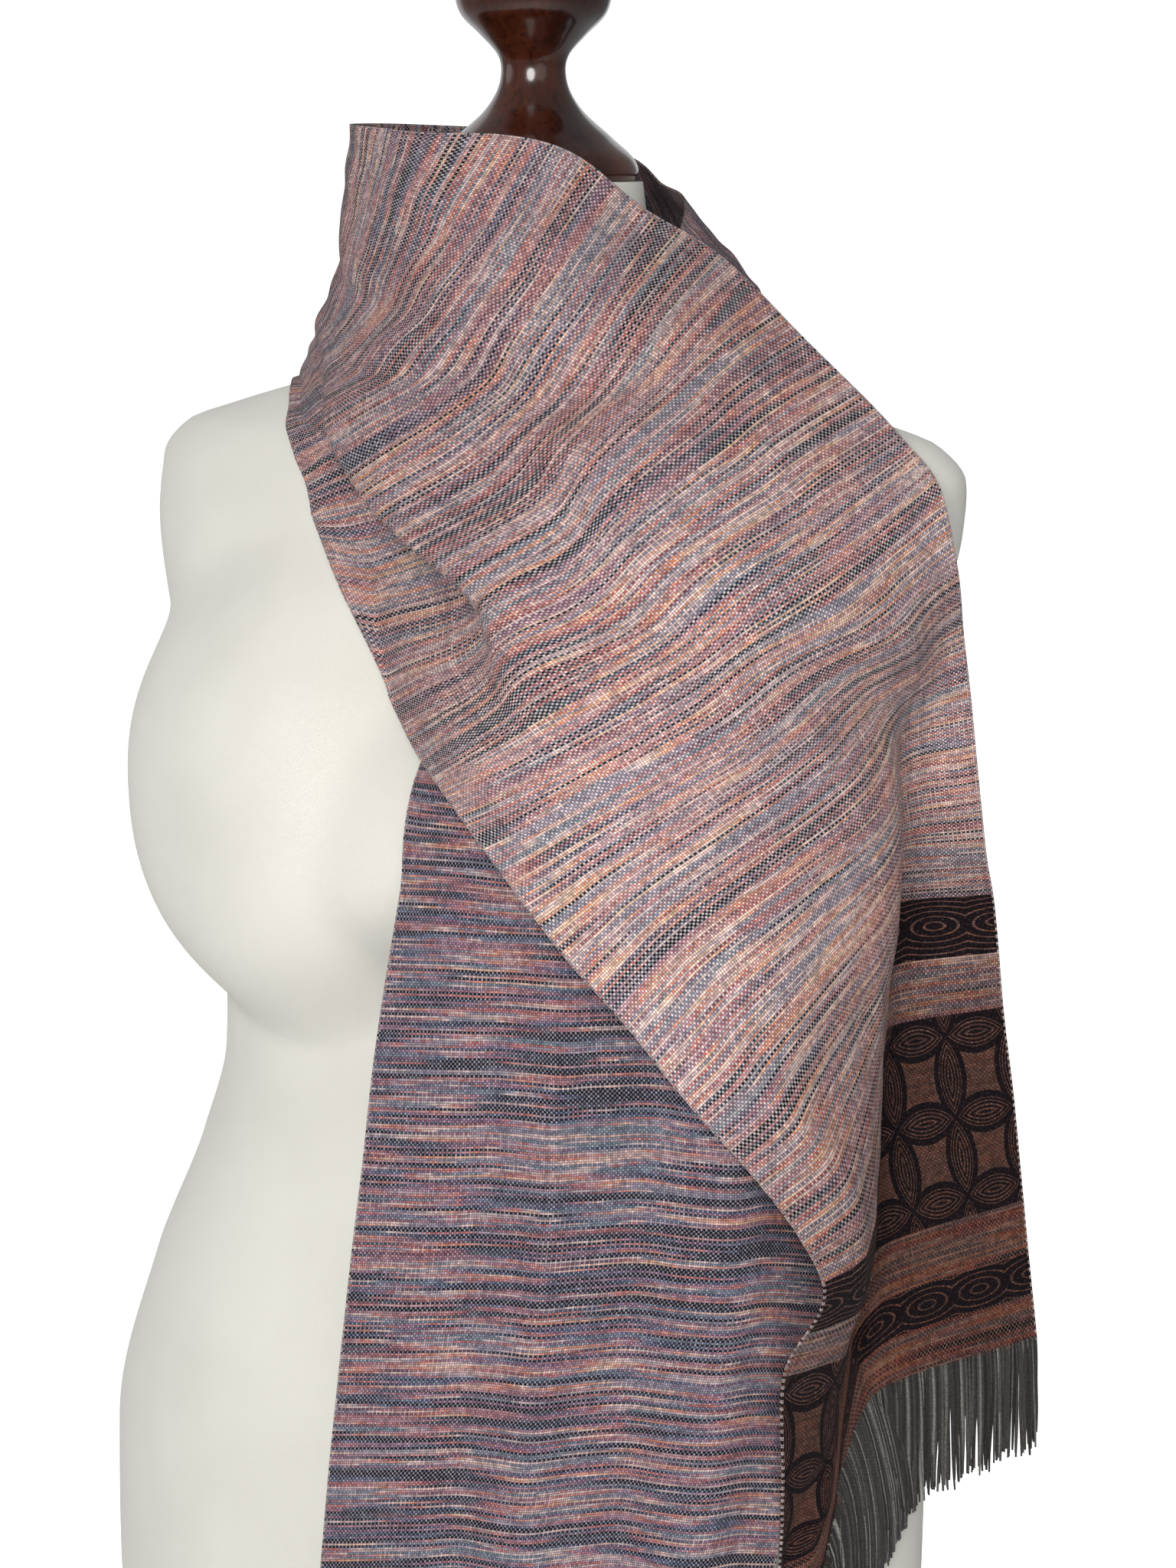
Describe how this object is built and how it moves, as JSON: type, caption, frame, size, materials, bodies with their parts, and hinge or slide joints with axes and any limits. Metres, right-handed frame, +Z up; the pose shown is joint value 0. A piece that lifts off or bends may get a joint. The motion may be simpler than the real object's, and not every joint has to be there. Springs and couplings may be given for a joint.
{
  "type": "fringed scarf on a dress form stand",
  "caption": "Long striped handwoven scarf with patterned bands and knotless fringes, wound once round the neck of a limbless dress form on a round stand.",
  "frame": {"origin": "centre of the round base's underside, on the floor", "axes": "+Z up, the form faces -Y, +X to the form's own left"},
  "size_m": [0.4203, 0.38, 1.5438],
  "materials": {
    "cloth": "matte plain weave",
    "pattern": "matte overshot weave",
    "fringe": "matte yarn",
    "jersey": "matte jersey",
    "wood": "gloss varnish"
  },
  "bodies": {
    "root": {"stand_base": "wood", "stand_pole": "wood", "dress_form": "jersey", "neck_cap": "wood", "scarf_front_end": "cloth", "scarf_neck_loop": "cloth", "scarf_front_panel": "cloth", "scarf_side_end": "pattern", "front_fringe": "fringe", "side_fringe": "fringe"}
  },
  "joints": []
}
